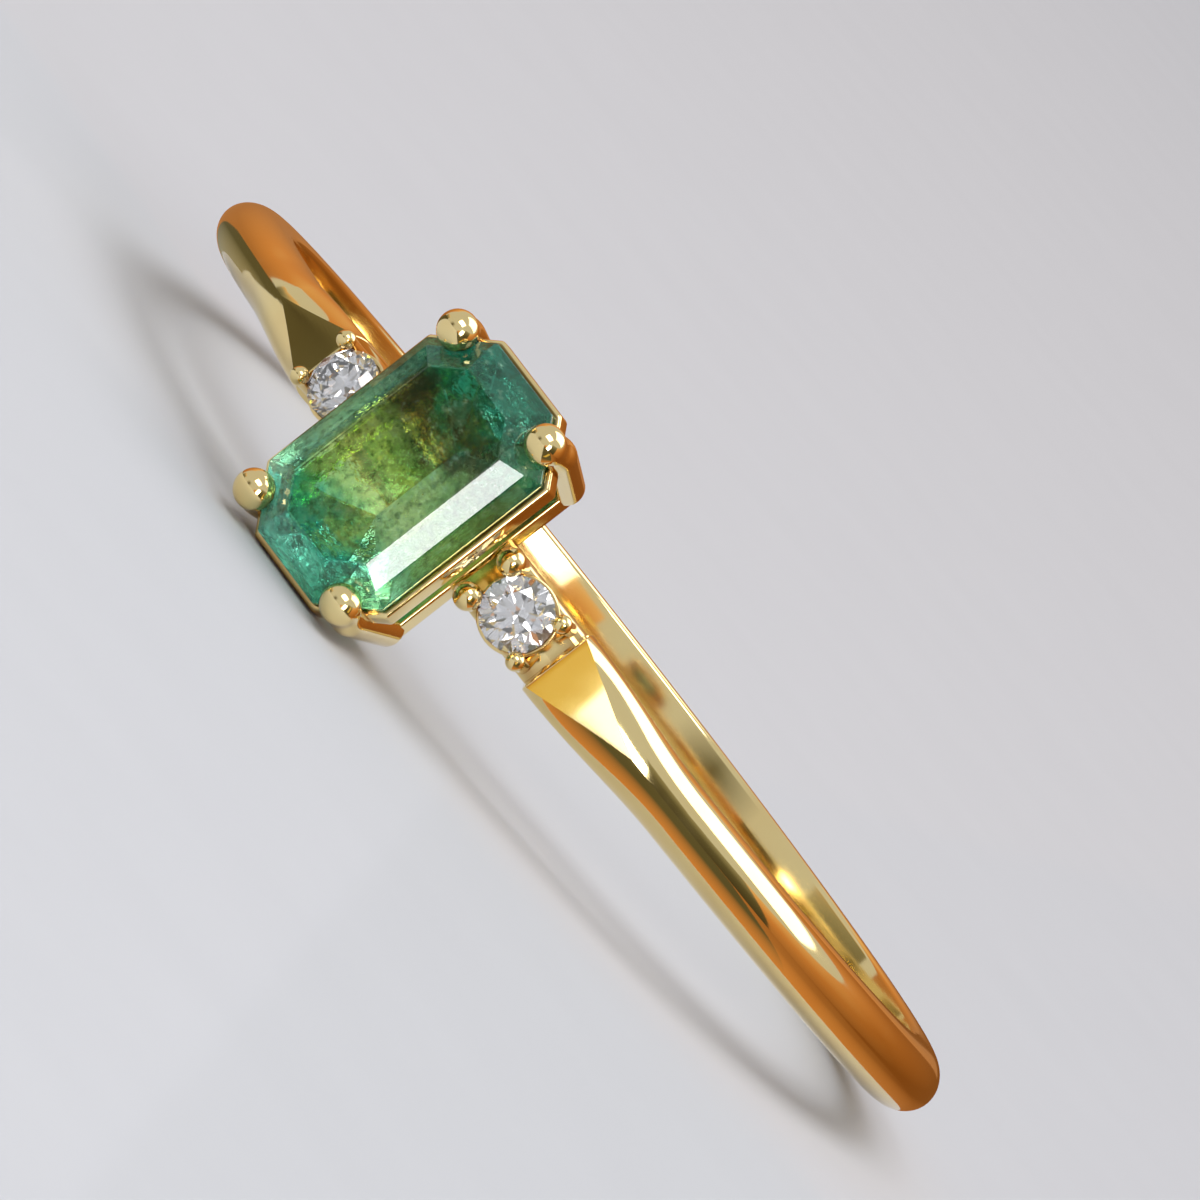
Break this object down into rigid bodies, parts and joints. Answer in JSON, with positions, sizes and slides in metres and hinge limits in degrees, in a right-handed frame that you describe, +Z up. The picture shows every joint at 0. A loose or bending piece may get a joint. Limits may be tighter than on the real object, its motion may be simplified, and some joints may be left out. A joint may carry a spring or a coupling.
{
  "type": "emerald ring",
  "caption": "Slim yellow gold finger ring: an upright step-cut emerald in a claw basket between small round diamonds, on a domed band with filed shoulders.",
  "frame": {"origin": "middle of the ring's bounding box, on the surface that it lies on", "axes": "+Z up, nearly along the finger hole; -Y towards the emerald; +X to the right when the emerald is looked at from in front"},
  "size_m": [0.0194, 0.0222, 0.0052],
  "materials": {
    "yellow_gold": "high polish, 14 carat yellow gold",
    "emerald_green": "cut and polished, clear green with faint natural flaws",
    "diamond_white": "cut and polished, colourless"
  },
  "bodies": {
    "root": {"band_and_setting": "yellow_gold", "emerald": "emerald_green", "diamond_left": "diamond_white", "diamond_right": "diamond_white"}
  },
  "joints": []
}
